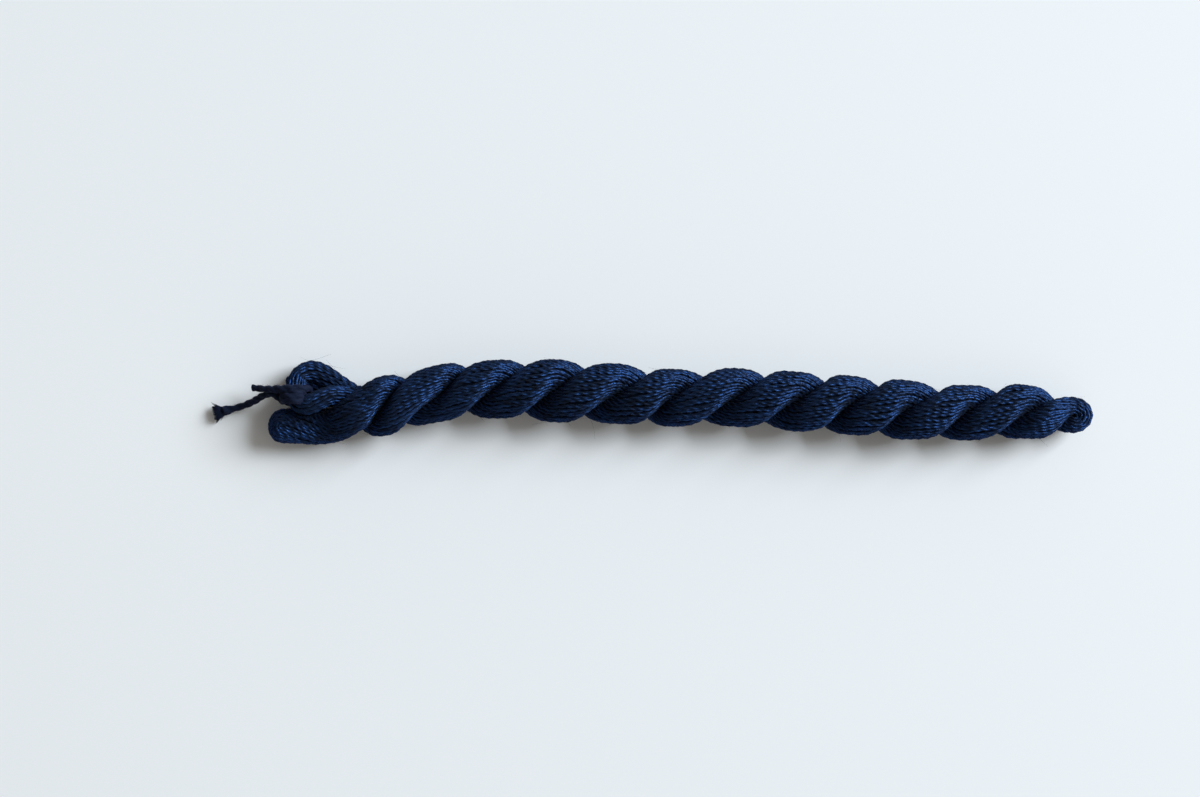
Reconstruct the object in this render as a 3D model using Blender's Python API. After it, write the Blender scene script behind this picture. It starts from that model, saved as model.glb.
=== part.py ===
"""Skein of embroidery floss: a hank folded in half and plied on itself, tied at its head with its own yarn.

The model is in metres and its tables are in millimetres. X runs along the skein, from its head to its
folded end, and the skein lies on Z = 0 with +Z up.
"""

import math
from collections import namedtuple

import bmesh
import bpy
import numpy as np

MM = 0.001

# ---- the plied body ----------------------------------------------------------------------------------
# One row for each turn at which a strand comes round to the +Y side: where that is, where the middle of
# the body lies there, and how far the strands reach from that middle. The last two rows are the fold.
Turn = namedtuple("Turn", "x y reach")
TURNS = [
    Turn(-107.4, -1.8, 9.4),
    Turn(-89.8, -1.1, 9.6),
    Turn(-74.0, 2.8, 9.1),
    Turn(-57.8, 4.0, 9.3),
    Turn(-39.0, 3.4, 10.0),
    Turn(-20.0, 2.5, 9.6),
    Turn(-3.3, 1.2, 9.2),
    Turn(16.8, 1.4, 9.3),
    Turn(35.0, 0.2, 9.5),
    Turn(51.2, -0.9, 9.4),
    Turn(68.1, -2.3, 9.5),
    Turn(87.2, -3.4, 8.9),
    Turn(107.6, -3.1, 8.6),
    Turn(124.0, -4.1, 5.9),
    Turn(140.0, -4.3, 5.9),
]
FIRST_SIDE_TURN = 1  # the row at which the near strand first comes to the +Y side
FOLD_ROWS = 2  # rows at the end of the table that belong to the fold
NARROWING_END_X = 118.2  # where the folded end has its own, smaller reach
BODY_START_X, BODY_END_X = -101.5, 128.3
START_ROUND, END_ROUND = 4.0, 8.8  # lengths over which the body rounds off at its two ends
STRAND_OFFSET = 0.44  # of the reach: from the middle of the body to the middle of a strand
STRAND_ACROSS = 0.74  # of the reach: half a strand's width, square to the line through both
SETTLED = 0.92  # of the reach: the body's half height, pressed by its own weight
FLAT_DEPTH = 0.25  # how far each low turn is pressed flat on the surface
FOLD_LIFT = 1.3  # the folded end stands this much higher than if it lay on the surface
BODY_STEP, END_STEPS, POINTS_A_STRAND = 1.75, 6, 12

# ---- the head ----------------------------------------------------------------------------------------
# The middle line of each bundle of yarn, with the half width in plan and the half height there.
Bundle = namedtuple("Bundle", "x y z half_width half_height")
NEAR_END = [
    Bundle(-123.6, -7.5, 5.3, 5.6, 5.4),
    Bundle(-117.0, -7.7, 5.3, 5.7, 5.4),
    Bundle(-110.5, -7.6, 5.7, 5.7, 5.4),
    Bundle(-105.5, -6.6, 8.0, 5.7, 5.3),
    Bundle(-101.6, -4.3, 11.2, 5.8, 5.2),
    Bundle(-98.4, -2.3, 12.2, 5.8, 5.0),
    Bundle(-95.2, -0.5, 11.2, 5.0, 4.3),
    Bundle(-92.2, 0.4, 9.6, 3.6, 3.0),
]
HEAD_LOOP = [
    Bundle(-94.6, -3.8, 5.6, 4.2, 3.6),
    Bundle(-97.8, -2.2, 5.0, 5.0, 4.4),
    Bundle(-101.0, 0.3, 4.8, 4.8, 4.5),
    Bundle(-104.0, 3.0, 4.2, 4.1, 4.0),
    Bundle(-107.0, 5.5, 3.9, 3.8, 3.8),
    Bundle(-111.0, 7.9, 3.8, 3.8, 3.7),
    Bundle(-115.4, 8.8, 4.4, 3.7, 3.6),
    Bundle(-118.8, 7.7, 5.8, 3.4, 3.5),
    Bundle(-120.2, 4.7, 7.2, 3.4, 3.4),
    Bundle(-119.9, 1.4, 8.6, 3.4, 3.4),
    Bundle(-118.0, -0.5, 9.7, 3.4, 3.4),
    Bundle(-115.0, -0.8, 10.3, 3.4, 3.4),
    Bundle(-111.6, 0.5, 10.0, 3.4, 3.4),
    Bundle(-108.2, 1.7, 8.8, 3.4, 3.6),
    Bundle(-104.4, 1.3, 6.8, 3.8, 3.9),
    Bundle(-100.0, -1.0, 5.4, 4.6, 4.2),
]
NEAR_END_ROUND, ROUND_STEPS = 4.8, 5  # how far the near end rounds off, and in how many rings
NEAR_END_STEP, NEAR_END_SIDES = 1.9, 18
LOOP_STEP, LOOP_SIDES = 1.7, 14

# ---- the tie -----------------------------------------------------------------------------------------
# The route of the tie's yarn, from its short free end over the loop, through it, back under it and out
# to its long free end, which lies on the surface.
Place = namedtuple("Place", "x y z")
TIE_ROUTE = [
    Place(-132.4, 4.35, 7.6),
    Place(-129.4, 4.05, 9.3),
    Place(-126.3, 3.85, 11.0),
    Place(-123.5, 3.9, 12.3),
    Place(-120.6, 4.05, 12.8),
    Place(-117.9, 4.15, 12.2),
    Place(-115.8, 4.1, 10.4),
    Place(-115.0, 3.95, 8.2),
    Place(-115.2, 3.35, 5.8),
    Place(-116.6, 1.75, 3.8),
    Place(-119.4, 0.05, 3.4),
    Place(-122.4, -0.45, 4.5),
    Place(-124.5, -0.35, 7.2),
    Place(-125.6, 0.85, 9.0),
    Place(-127.6, 1.75, 8.6),
    Place(-129.8, 1.55, 6.8),
    Place(-132.9, 0.25, 4.0),
    Place(-136.3, -1.05, 1.9),
    Place(-139.7, -2.05, 1.15),
    Place(-142.8, -2.85, 1.15),
]
KNOT_ROUTE = [
    Place(-123.3, 1.45, 11.8),
    Place(-122.0, 1.55, 13.2),
    Place(-120.0, 1.55, 14.1),
    Place(-117.9, 1.55, 14.4),
    Place(-116.1, 1.55, 14.4),
]
TIE_RADIUS = 1.05
TIE_STEP, KNOT_STEP = 2.0, 1.4  # spacing of the points along the tie and along its knot

NAVY = (0.0065, 0.0126, 0.030, 1.0)
TIE_NAVY = (0.0070, 0.0120, 0.026, 1.0)
NAVY_ROUGHNESS, TIE_ROUGHNESS = 0.55, 0.8


def smooth(at, knots, values):
    """The smooth curve through the values at the knots: a cubic between each two, with central slopes."""
    knots, values = np.asarray(knots, float), np.asarray(values, float)
    slopes = np.gradient(values, knots)
    left = np.clip(np.searchsorted(knots, at, side="right") - 1, 0, len(knots) - 2)
    width = knots[left + 1] - knots[left]
    t = (at - knots[left]) / width
    rise = (3 - 2 * t) * t * t
    bend = t * (1 - t)
    start = bend * (1 - t) * slopes[left]
    end = bend * t * slopes[left + 1]
    return values[left] * (1 - rise) + values[left + 1] * rise + width * (start - end)


def smooth_rows(rows, step):
    """Rows of a table, read from the smooth curve through them about one step apart."""
    table = np.array(rows, float)
    lengths = np.linalg.norm(np.diff(table[:, :3], axis=0), axis=1)
    along = np.concatenate([[0.0], np.cumsum(lengths)])
    at = np.linspace(0.0, along[-1], round(along[-1] / step) + 1)
    return np.stack([smooth(at, along, column) for column in table.T], axis=1)


def mesh_object(name, rings, material):
    """A closed surface over rings of points, with a point at the middle of each end ring."""
    count, sides = rings.shape[:2]
    ends = np.array([rings[0].mean(axis=0), rings[-1].mean(axis=0)])
    points = np.concatenate([rings.reshape(-1, 3), ends]) * MM
    ring, side = np.meshgrid(np.arange(count - 1), np.arange(sides), indexing="ij")
    here, beside = ring * sides + side, ring * sides + (side + 1) % sides
    lower = np.stack([here, beside, beside + sides], axis=-1).reshape(-1, 3)
    upper = np.stack([here, beside + sides, here + sides], axis=-1).reshape(-1, 3)
    edge = np.arange(sides)
    after = (edge + 1) % sides
    first_pole, last_pole = count * sides, count * sides + 1
    last_ring = (count - 1) * sides
    first_cap = np.stack([after, edge, np.full(sides, first_pole)], axis=-1)
    last_cap = np.stack([last_ring + edge, last_ring + after, np.full(sides, last_pole)], axis=-1)
    faces = np.concatenate([lower, upper, first_cap, last_cap])
    mesh = bpy.data.meshes.new(name)
    mesh.from_pydata(points.tolist(), [], faces.tolist())
    face_outwards(mesh)
    mesh.materials.append(material)
    thing = bpy.data.objects.new(name, mesh)
    bpy.context.scene.collection.objects.link(thing)
    return thing


def face_outwards(mesh):
    """Turns the faces of a closed mesh so that they point out, and shades it smooth."""
    shape = bmesh.new()
    shape.from_mesh(mesh)
    bmesh.ops.recalc_face_normals(shape, faces=shape.faces)
    shape.to_mesh(mesh)
    shape.free()
    mesh.shade_smooth()


def pressed_pair(angle, reach):
    """The radius of two ovals pressed together, at an angle from the line through their middles."""
    offset, along, across = STRAND_OFFSET * reach, (1 - STRAND_OFFSET) * reach, STRAND_ACROSS * reach
    forward, sideways = np.abs(np.cos(angle)), np.abs(np.sin(angle))
    square = (forward / along) ** 2 + (sideways / across) ** 2
    half = forward * offset / along**2
    rest = (offset / along) ** 2 - 1
    return (half + np.sqrt(half**2 - square * rest)) / square


def body_reach(x):
    """How far the strands reach, narrowing quickly where the hank folds."""
    body, fold = TURNS[:-FOLD_ROWS], TURNS[-FOLD_ROWS:]
    narrowed = Turn(NARROWING_END_X, fold[0].y, fold[0].reach)
    rows = [*body, narrowed, *fold]
    return smooth(x, [row.x for row in rows], [row.reach for row in rows])


def rounding(x):
    """From 0 at either end of the body to 1 where it has its full section, as a quarter oval."""
    from_start = np.clip((x - BODY_START_X) / START_ROUND, 0, 1)
    from_end = np.clip((BODY_END_X - x) / END_ROUND, 0, 1)
    return np.sqrt((1 - (1 - from_start) ** 2) * (1 - (1 - from_end) ** 2))


def body_stations():
    """Places of the body's rings: even along it, and closer where it rounds off at its ends."""
    quarter = np.linspace(0.0, math.pi / 2, END_STEPS + 1)[1:]
    start = BODY_START_X + START_ROUND * (1 - np.cos(quarter))
    end = BODY_END_X - END_ROUND * (1 - np.cos(quarter))
    steps = round((end[-1] - start[-1]) / BODY_STEP)
    between = np.linspace(start[-1], end[-1], steps + 1)[1:-1]
    return np.concatenate([start, between, end[::-1]])


def strand_angles():
    """Angles round one ring from the line through both strands, closest at the two creases."""
    half = np.sin(np.linspace(-math.pi / 2, math.pi / 2, POINTS_A_STRAND + 1)[:-1]) * math.pi / 2
    return np.concatenate([half, half + math.pi])


def body_rings():
    """Rings of the two plied strands. The pair turns half a circle, left-handed, from row to row."""
    turn_x, turn_y, turn_reach = np.array(TURNS).T
    x = body_stations()
    turned = smooth(x, turn_x, -math.pi * (np.arange(len(TURNS)) - FIRST_SIDE_TURN))
    last_x = TURNS[-FOLD_ROWS - 1].x
    lift = FOLD_LIFT * np.clip((x - last_x) / (NARROWING_END_X - last_x), 0, 1)
    height = SETTLED * smooth(x, turn_x, turn_reach) - FLAT_DEPTH + lift
    angle = strand_angles()
    radius = pressed_pair(angle[None, :], (body_reach(x) * rounding(x))[:, None])
    facing = angle[None, :] + turned[:, None]
    y = smooth(x, turn_x, turn_y)[:, None] + radius * np.cos(facing)
    z = height[:, None] + SETTLED * radius * np.sin(facing)
    return np.stack([np.broadcast_to(x[:, None], y.shape), y, z], axis=-1)


def bundle_rings(rows, sides):
    """Oval rings square to a bundle's middle line, their width level and their height upright."""
    middle, widths, heights = rows[:, :3], rows[:, 3], rows[:, 4]
    ahead = np.gradient(middle, axis=0)
    ahead /= np.linalg.norm(ahead, axis=1)[:, None]
    level = np.cross([0.0, 0.0, 1.0], ahead)
    level /= np.linalg.norm(level, axis=1)[:, None]
    upright = np.cross(ahead, level)
    angle = np.linspace(0.0, 2 * math.pi, sides, endpoint=False)
    wide = (np.cos(angle)[None, :] * widths[:, None])[..., None] * level[:, None]
    high = (np.sin(angle)[None, :] * heights[:, None])[..., None] * upright[:, None]
    return middle[:, None] + wide + high


def rounded_start(rows, length):
    """The rows of a bundle, led by rows that round its start off as a quarter oval."""
    outward = rows[0, :3] - rows[1, :3]
    outward /= np.linalg.norm(outward)
    quarter = np.linspace(0.0, math.pi / 2, ROUND_STEPS + 1)[1:]
    cap = np.repeat(rows[:1], ROUND_STEPS, axis=0)
    cap[:, :3] = rows[0, :3] + length * np.cos(quarter)[:, None] * outward
    cap[:, 3:] = rows[0, 3:] * np.sin(quarter)[:, None]
    return np.concatenate([cap[:-1], rows])


def joined(whole, *pieces):
    """Adds each piece to the whole with a Boolean union, and hides the piece."""
    for piece in pieces:
        modifier = whole.modifiers.new(f"join {piece.name}", "BOOLEAN")
        modifier.operation = "UNION"
        modifier.solver = "EXACT"
        modifier.use_self = True  # the head's loop comes back into its own root
        modifier.object = piece
        hide(piece)


def hide(thing):
    """Keeps a guide out of the model and draws it as wires."""
    thing.hide_render = True
    thing.display_type = "WIRE"


def rested(thing, length, width, depth):
    """Cuts off all of a thing that would lie below the surface, which leaves its flat spots."""
    mesh = bpy.data.meshes.new("surface")
    shape = bmesh.new()
    bmesh.ops.create_cube(shape, size=1.0)
    bmesh.ops.scale(shape, vec=(length, width, depth), verts=shape.verts)
    bmesh.ops.translate(shape, vec=(0.0, 0.0, -depth / 2), verts=shape.verts)
    shape.to_mesh(mesh)
    shape.free()
    surface = bpy.data.objects.new("surface", mesh)
    bpy.context.scene.collection.objects.link(surface)
    modifier = thing.modifiers.new("rest", "BOOLEAN")
    modifier.operation = "DIFFERENCE"
    modifier.solver = "EXACT"
    modifier.object = surface
    hide(surface)


def yarn(name, route, step, material):
    """A round length of yarn along the smooth curve through its route."""
    points = smooth_rows(route, step) * MM
    curve = bpy.data.curves.new(name, "CURVE")
    curve.dimensions = "3D"
    curve.bevel_depth = TIE_RADIUS * MM
    curve.bevel_resolution = 2
    curve.use_fill_caps = True
    spline = curve.splines.new("POLY")
    spline.points.add(len(points) - 1)
    spline.points.foreach_set("co", np.column_stack([points, np.ones(len(points))]).ravel())
    curve.materials.append(material)
    thing = bpy.data.objects.new(name, curve)
    bpy.context.scene.collection.objects.link(thing)
    return thing


def fibre(name, colour, roughness):
    """A plain fibre finish."""
    material = bpy.data.materials.new(name)
    material.use_nodes = True
    shader = material.node_tree.nodes["Principled BSDF"]
    shader.inputs["Base Color"].default_value = colour
    shader.inputs["Roughness"].default_value = roughness
    shader.inputs["Metallic"].default_value = 0.0
    return material


def make_skein(material):
    """The hank: its plied body, its thick near end and its opened loop, as one solid."""
    near_rows = rounded_start(smooth_rows(NEAR_END, NEAR_END_STEP), NEAR_END_ROUND)
    body = mesh_object("skein", body_rings(), material)
    near_end = mesh_object("near_end", bundle_rings(near_rows, NEAR_END_SIDES), material)
    loop = mesh_object("head_loop", bundle_rings(smooth_rows(HEAD_LOOP, LOOP_STEP), LOOP_SIDES), material)
    joined(body, near_end, loop)
    rested(body, length=0.4, width=0.1, depth=0.02)


def make_tie(material):
    """The tie's own yarn and the turn that knots it on the loop."""
    yarn("tie", TIE_ROUTE, TIE_STEP, material)
    yarn("tie_knot", KNOT_ROUTE, KNOT_STEP, material)


def main():
    """Clears the scene and makes the three pieces."""
    for thing in list(bpy.data.objects):
        bpy.data.objects.remove(thing, do_unlink=True)
    make_skein(fibre("navy floss", NAVY, NAVY_ROUGHNESS))
    make_tie(fibre("navy tie", TIE_NAVY, TIE_ROUGHNESS))


main()
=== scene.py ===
"""The look of a skein of embroidery floss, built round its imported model.

The hank is shown as the runs of two-ply thread that it is wound from. They follow its two plied strands,
turn round at its folded end and at its thick near end, and make the opened loop at its head. Lengths are
in millimetres here, and the meshes are in metres.
"""

import logging
import math
from dataclasses import dataclass
from typing import NamedTuple

import bpy
import numpy as np
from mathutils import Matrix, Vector


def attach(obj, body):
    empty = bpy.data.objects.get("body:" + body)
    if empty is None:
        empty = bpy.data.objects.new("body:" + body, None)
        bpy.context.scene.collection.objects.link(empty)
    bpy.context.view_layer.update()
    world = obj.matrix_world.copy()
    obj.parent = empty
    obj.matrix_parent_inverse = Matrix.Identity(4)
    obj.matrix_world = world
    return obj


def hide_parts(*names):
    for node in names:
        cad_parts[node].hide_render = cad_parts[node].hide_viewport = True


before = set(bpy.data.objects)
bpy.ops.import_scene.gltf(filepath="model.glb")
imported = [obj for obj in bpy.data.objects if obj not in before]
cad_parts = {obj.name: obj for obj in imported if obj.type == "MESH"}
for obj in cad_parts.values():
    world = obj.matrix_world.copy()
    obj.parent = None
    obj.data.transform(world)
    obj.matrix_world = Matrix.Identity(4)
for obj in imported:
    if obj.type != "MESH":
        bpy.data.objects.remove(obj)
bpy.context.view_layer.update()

MM = 0.001
ROOT_BODY = "root"
YARN_MAP = "yarn"  # along: lengths of 10 mm; around: turns round the yarn, from the groove of its plies
BAKE_MAP = "OFBake"
MAP_LENGTH = 10.0
MAP_SHIFT = 37.7  # map lengths by which each run is moved on, so that no two look alike
STRIP_MARGIN = 0.06  # of a row of the baking map: free at each of its sides
STRIP_SHAPE = 2.0  # how much longer than wide a wall is taken to be in that map
CAP_WIDTH = 0.8  # of the room of a tube's end in its last row
TURN_SCATTER = 0.35  # radians by which the first turns of the runs' plies vary
ONWARD = np.array([1.0, 0.0, 0.0])
UPRIGHT = np.array([0.0, 0.0, 1.0])
log = logging.getLogger("skein")


class Turns(NamedTuple):
    """Where a strand comes round to the +Y side of the body: the body's middle, and the strands' reach."""

    x: list[float]
    y: list[float]
    reach: list[float]


class Twists(NamedTuple):
    """How many half turns the pair of strands has made at places along the body."""

    x: list[float]
    half_turns: list[float]


class Route(NamedTuple):
    """Places on the middle line of a single yarn."""

    x: list[float]
    y: list[float]
    z: list[float]


class Bundle(NamedTuple):
    """Places on the middle line of a bundle of runs, with its half widths in plan and half heights."""

    x: list[float]
    y: list[float]
    z: list[float]
    half_width: list[float]
    half_height: list[float]


TURNS = Turns(
    x=[-107.4, -89.8, -74.0, -57.8, -39.0, -20.0, -3.3, 16.8, 35.0, 51.2, 68.1, 87.2, 107.6, 113.4],
    y=[-1.8, -1.1, 2.8, 4.0, 3.4, 2.5, 1.2, 1.4, 0.2, -0.9, -2.3, -3.4, -3.1, -3.5],
    reach=[9.4, 9.6, 9.1, 9.3, 10.0, 9.6, 9.2, 9.3, 9.5, 9.4, 9.5, 8.9, 8.6, 8.2],
)
FOLD = Turns(x=[119.4, 124.0, 140.0], y=[-4.1, -4.2, -4.3], reach=[6.0, 6.0, 6.0])
TWISTS = Twists(
    x=[
        -124.0, -107.4, -91.2, -84.6, -73.2, -65.8, -57.1, -47.8, -38.7, -29.3, -19.2, -9.9, -2.6, 7.6,
        17.4, 26.6, 35.8, 45.1, 52.4, 61.9, 69.9, 80.7, 88.4, 98.6, 107.8, 113.2, 117.6, 121.4, 124.0, 140.0,
    ],
    half_turns=[-1.9, -1.0, *np.arange(0.0, 11.25, 0.5), 11.28, 11.57, 11.95, 12.0, 12.0],
)
NEAR_END = Bundle(
    x=[-123.6, -117.0, -110.5, -105.5, -101.6, -98.4, -95.2, -92.2],
    y=[-7.5, -7.7, -7.6, -6.6, -4.3, -2.3, -0.5, 0.4],
    z=[5.3, 5.3, 5.7, 8.0, 11.2, 12.2, 11.2, 9.6],
    half_width=[5.6, 5.7, 5.7, 5.7, 5.8, 5.8, 5.0, 3.6],
    half_height=[5.4, 5.4, 5.4, 5.3, 5.2, 5.0, 4.3, 3.0],
)
HEAD_LOOP = Bundle(
    x=[
        -94.6, -97.8, -101.0, -104.0, -107.0, -111.0, -115.2, -118.2, -119.0, -118.9, -117.4, -115.0, -111.6,
        -108.2, -104.4, -100.0,
    ],
    y=[-3.8, -2.2, 0.3, 3.0, 5.5, 8.1, 9.4, 8.0, 4.8, 1.5, -0.5, -0.8, 0.5, 1.7, 1.3, -1.0],
    z=[5.6, 5.0, 4.8, 4.2, 3.9, 3.8, 4.4, 5.8, 7.2, 8.6, 9.7, 10.3, 10.0, 8.8, 6.8, 5.4],
    half_width=[4.2, 5.0, 4.8, 4.1, 3.8, 3.8, 3.7, 3.3, 3.2, 3.2, 3.3, 3.4, 3.4, 3.4, 3.8, 4.6],
    half_height=[3.6, 4.4, 4.5, 4.0, 3.8, 3.7, 3.6, 3.5, 3.4, 3.4, 3.4, 3.4, 3.4, 3.6, 3.9, 4.2],
)
HEAD_TURN = Bundle(
    x=[-102.5, -105.5, -109.5, -113.5, -117.5, -121.2],
    y=[0.6, 2.0, 3.5, 4.8, 5.9, 6.4],
    z=[3.6, 3.3, 3.0, 2.9, 2.9, 2.9],
    half_width=[2.6, 2.8, 3.0, 2.9, 2.7, 2.5],
    half_height=[2.3, 2.3, 2.4, 2.4, 2.4, 2.4],
)
TIE_ROUTE = Route(
    x=[
        -132.4, -129.4, -126.3, -123.5, -120.6, -117.9, -115.8, -115.0, -115.2, -116.6, -119.4, -122.4,
        -124.2, -125.4, -127.6, -129.9, -132.9, -136.3, -139.7, -142.8,
    ],
    y=[
        4.35, 4.05, 3.85, 3.9, 4.05, 4.15, 4.1, 3.95, 3.35, 1.75, 0.05, -0.1, 1.0, 2.3, 2.4, 1.7, 0.25,
        -1.05, -2.05, -2.85,
    ],
    z=[
        7.6, 9.3, 11.0, 12.3, 12.8, 12.2, 10.4, 8.2, 5.8, 3.8, 3.4, 4.7, 7.6, 9.3, 8.8, 6.9, 4.0, 2.15, 1.5,
        1.75,
    ],
)
KNOT_ROUTE = Route(
    x=[-123.0, -122.8, -122.3, -121.4, -120.4, -119.1, -117.9, -117.0, -116.8],
    y=[1.5, 1.5, 1.5, 1.55, 1.55, 1.55, 1.55, 1.55, 1.55],
    z=[9.0, 10.6, 12.0, 13.1, 13.8, 14.2, 13.9, 12.6, 11.0],
)
KNOT_TURNS = Route(x=[0.3, 0.0, 0.1], y=[1.3, 0.0, -1.3], z=[-0.6, 0.0, 0.1])


# ---- curves and drift ----
def smooth(at: np.ndarray, knots: np.ndarray, values: np.ndarray) -> np.ndarray:
    """The smooth curve through the values at the knots: a cubic between each two, with central slopes.

    Args:
        at: where the curve is read.
        knots: rising places of the values.
        values: one value for each knot.

    Returns:
        The curve's value at each place.
    """
    knots, values = np.asarray(knots, float), np.asarray(values, float)
    slopes = np.gradient(values, knots)
    left = np.clip(np.searchsorted(knots, at, side="right") - 1, 0, len(knots) - 2)
    width = knots[left + 1] - knots[left]
    t = (at - knots[left]) / width
    rise = (3 - 2 * t) * t * t
    bend = t * (1 - t)
    start = bend * (1 - t) * slopes[left]
    end = bend * t * slopes[left + 1]
    return values[left] * (1 - rise) + values[left + 1] * rise + width * (start - end)


def smooth_rows(line: Route | Bundle, step: float) -> np.ndarray:
    """Rows of a table, read from the smooth curve through them about one step apart.

    Args:
        line: the table.
        step: the length from row to row.

    Returns:
        The rows, with the columns of the table.
    """
    table = np.array(line).T
    along = lengths_along(table[None, :, :3])[0]
    at = np.linspace(0.0, along[-1], round(along[-1] / step) + 1)
    return np.stack([smooth(at, along, column) for column in table.T], axis=1)


def unit(vectors: np.ndarray) -> np.ndarray:
    """The vectors along the last axis, each made one long."""
    return vectors / np.linalg.norm(vectors, axis=-1, keepdims=True)


def eased(t: np.ndarray) -> np.ndarray:
    """From 0 to 1 with level ends, as t goes from 0 to 1."""
    t = np.clip(t, 0.0, 1.0)
    return t * t * (3 - 2 * t)


def lengths_along(paths: np.ndarray) -> np.ndarray:
    """The length along each path at each of its points, from 0."""
    steps = np.linalg.norm(np.diff(paths, axis=1), axis=2)
    return np.concatenate([np.zeros((len(paths), 1)), np.cumsum(steps, axis=1)], axis=1)


class Wander:
    """A slow random drift: for each run, a sum of three waves with phases of its own."""

    WAVELENGTHS = (13.0, 23.0, 41.0)

    def __init__(self, runs: int, rng: np.random.Generator) -> None:
        """Draws the phases for this many runs."""
        self.phases = rng.uniform(0.0, 2 * math.pi, (len(self.WAVELENGTHS), runs, 1))

    def at(self, x: np.ndarray) -> np.ndarray:
        """The drift of each run at each x, mostly from -1 to 1."""
        waves = 2 * math.pi * x[None, None, :] / np.array(self.WAVELENGTHS)[:, None, None]
        return np.sin(waves + self.phases).sum(axis=0) / math.sqrt(len(self.WAVELENGTHS))


# ---- yarn ----
class Runs(NamedTuple):
    """Runs of yarn side by side: their middle lines, and which way is out of the bundle there.

    Args:
        paths: runs by points by 3.
        outward: the same shape, about one long and never along the run.
    """

    paths: np.ndarray
    outward: np.ndarray

    def backwards(self) -> "Runs":
        """The same runs from their other end."""
        return Runs(self.paths[:, ::-1], self.outward[:, ::-1])

    def picked(self, which: np.ndarray) -> "Runs":
        """Only these of the runs."""
        return Runs(self.paths[which], self.outward[which])

    def above(self, lowest: float) -> "Runs":
        """The same runs, lifted where they lie too low.

        Args:
            lowest: the height that they are lifted to.

        Returns:
            The lifted runs.
        """
        paths = self.paths.copy()
        paths[..., 2] = np.maximum(paths[..., 2], lowest)
        return Runs(paths, self.outward)

    def stepped(self, step: float) -> "Runs":
        """The same runs with points the same length apart.

        Args:
            step: about that length.

        Returns:
            The runs at their new points.
        """
        along = lengths_along(self.paths)
        count = round(float(along[:, -1].max()) / step) + 1
        rows = []
        for run, at in zip(np.concatenate([self.paths, self.outward], axis=2), along, strict=True):
            even = np.linspace(0.0, at[-1], count)
            rows.append(np.stack([np.interp(even, at, column) for column in run.T], axis=1))
        stepped = np.stack(rows)
        return Runs(stepped[..., :3], stepped[..., 3:])

    def relaxed(self, passes: int) -> "Runs":
        """The same runs with each point drawn to the middle of its neighbours, so that corners ease.

        Args:
            passes: how often that is done.

        Returns:
            The eased runs.
        """
        paths = self.paths.copy()
        for _ in range(passes):
            paths[:, 1:-1] = (paths[:, :-2] + 2 * paths[:, 1:-1] + paths[:, 2:]) / 4
        return Runs(paths, self.outward)

    def turned_into(self, back: "Runs", ahead: np.ndarray, depth: float, points: int) -> "Runs":
        """Each run, a half oval from its end to the start of the run that it comes back as, and that run.

        The oval is the middle of the two ends, plus half their distance times the cosine, plus depth
        times that half distance times the sine, ahead, as the angle goes from 0 to half a circle.

        Args:
            back: the runs that they come back as.
            ahead: the way that the turn reaches out, one long.
            depth: how far it reaches for each unit of its half width.
            points: how many points it has.

        Returns:
            One long run for each two.
        """
        angle = np.linspace(0.0, math.pi, points)[None, :, None]
        first, last = self.paths[:, -1:], back.paths[:, :1]
        half = (first - last) / 2
        wide = np.linalg.norm(half, axis=2, keepdims=True)
        turn = (first + last) / 2 + half * np.cos(angle) + depth * wide * np.sin(angle) * ahead
        first_out, last_out = self.outward[:, -1:], back.outward[:, :1]
        half_out = (first_out - last_out) / 2
        facing = np.sign((half_out * half).sum(axis=2, keepdims=True))
        ahead_out = facing * np.linalg.norm(half_out, axis=2, keepdims=True) * np.sin(angle) * ahead
        turn_out = (first_out + last_out) / 2 + half_out * np.cos(angle) + ahead_out
        paths = [self.paths, turn[:, 1:], back.paths[:, 1:]]
        outward = [self.outward, turn_out[:, 1:], back.outward[:, 1:]]
        return Runs(np.concatenate(paths, axis=1), np.concatenate(outward, axis=1))


def there_and_back(runs: int) -> tuple[np.ndarray, np.ndarray]:
    """Pairs the runs round a bundle, as each comes back as another one where the bundle ends.

    Args:
        runs: how many runs there are.

    Returns:
        The numbers of half of the runs, and of the runs that they come back as.
    """
    half = runs // 2
    there = np.concatenate([np.arange(half // 2), half + np.arange(half // 2)])
    return there, (half - 1 - there) % runs


def on_ovals(middle: np.ndarray, wide: np.ndarray, high: np.ndarray, angle: np.ndarray) -> Runs:
    """Runs on ovals square to a middle line.

    A run's place is the middle line's, plus the half width times the cosine of its angle, level, plus
    the half height times the sine, upright.

    Args:
        middle: points of the middle line.
        wide: half width of the oval at each, which may differ from run to run.
        high: half height, likewise.
        angle: the angle of each run from level, runs by points.

    Returns:
        The runs, with the way out of the ovals.
    """
    ahead = unit(np.gradient(middle, axis=0))
    level = unit(np.cross(UPRIGHT, ahead))
    across = np.cos(angle)[..., None] * level
    up = np.sin(angle)[..., None] * np.cross(ahead, level)
    return Runs(middle + wide[..., None] * across + high[..., None] * up, across + up)


@dataclass(frozen=True)
class Thread:
    """A thread as it is spun: what is carried along each run."""

    radius: float  # half its width over both plies
    sides: int  # points round its section
    pitch: float = 90.0  # length in which its plies go once round each other, right-handed
    step: float = 0.5  # length from ring to ring
    ply_offset: float = 0.0  # of the radius: from its middle to the middle of a ply
    unevenness: float = 0.0  # share by which its width varies

    def outline(self) -> np.ndarray:
        """The outline of the section: two circles side by side, or one if they aren't offset.

        Returns:
            The radius at each side, as a share of the thread's.
        """
        forward, across = np.abs(np.cos(self.angles())), np.sin(self.angles())
        ply = 1 - self.ply_offset
        return self.ply_offset * forward + np.sqrt(ply**2 - (self.ply_offset * across) ** 2)

    def angles(self) -> np.ndarray:
        """Angles of the sides round the section, from one groove between the plies."""
        return np.arange(self.sides) * 2 * math.pi / self.sides - math.pi / 2


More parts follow.
